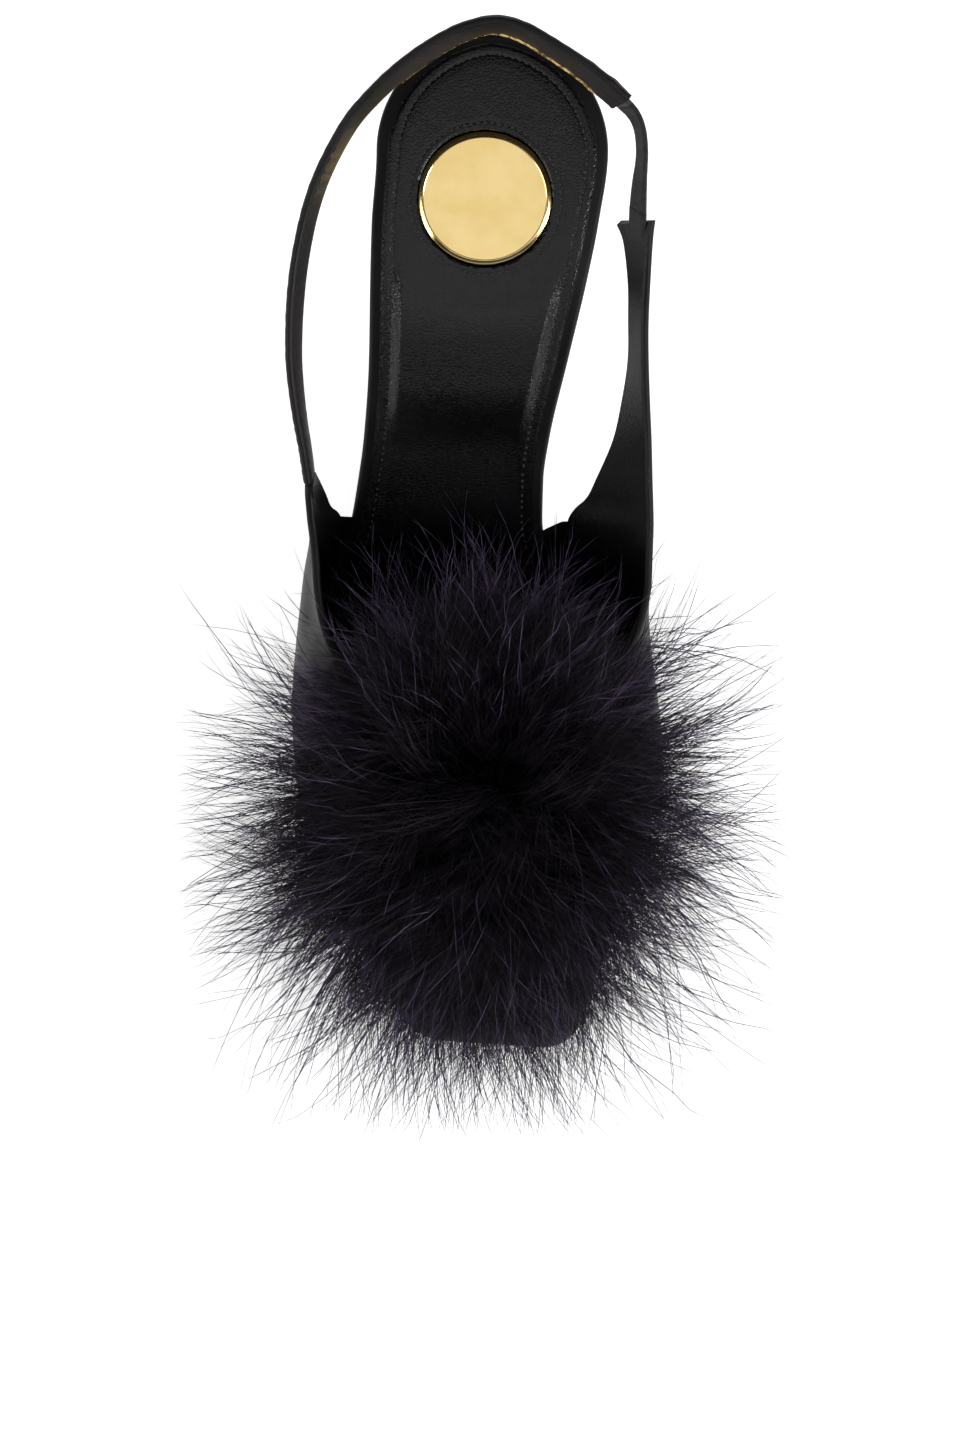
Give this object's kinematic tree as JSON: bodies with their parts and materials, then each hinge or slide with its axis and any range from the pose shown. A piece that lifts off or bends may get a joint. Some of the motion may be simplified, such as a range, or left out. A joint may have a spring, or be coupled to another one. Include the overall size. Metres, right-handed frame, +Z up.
{
  "type": "marabou slipper",
  "caption": "Right-foot heeled slingback slipper in satin, with a closed square toe, a gold disc in the sock and a marabou pompom over the vamp.",
  "frame": {"origin": "on the floor, in the middle of the flat tread of the sole", "axes": "+Z up, +Y towards the back of the heel, +X towards the inner side of the foot"},
  "size_m": [0.1196, 0.2329, 0.1181],
  "materials": {
    "satin": "black satin weave, soft sheen",
    "sock_leather": "black fine-grained leather, semi-gloss",
    "sole_leather": "dark polished sole leather",
    "rubber": "matt black rubber",
    "gold": "polished yellow gold colour",
    "elastic_webbing": "ribbed black elastic",
    "marabou": "black marabou down"
  },
  "bodies": {
    "root": {"outsole": "sole_leather", "heel": "satin", "heel_top_piece": "rubber", "insole_board": "satin", "sock_lining": "sock_leather", "medallion": "gold", "upper": "satin", "sling_strap": "satin", "elastic": "elastic_webbing", "pompom": "marabou"}
  },
  "joints": []
}
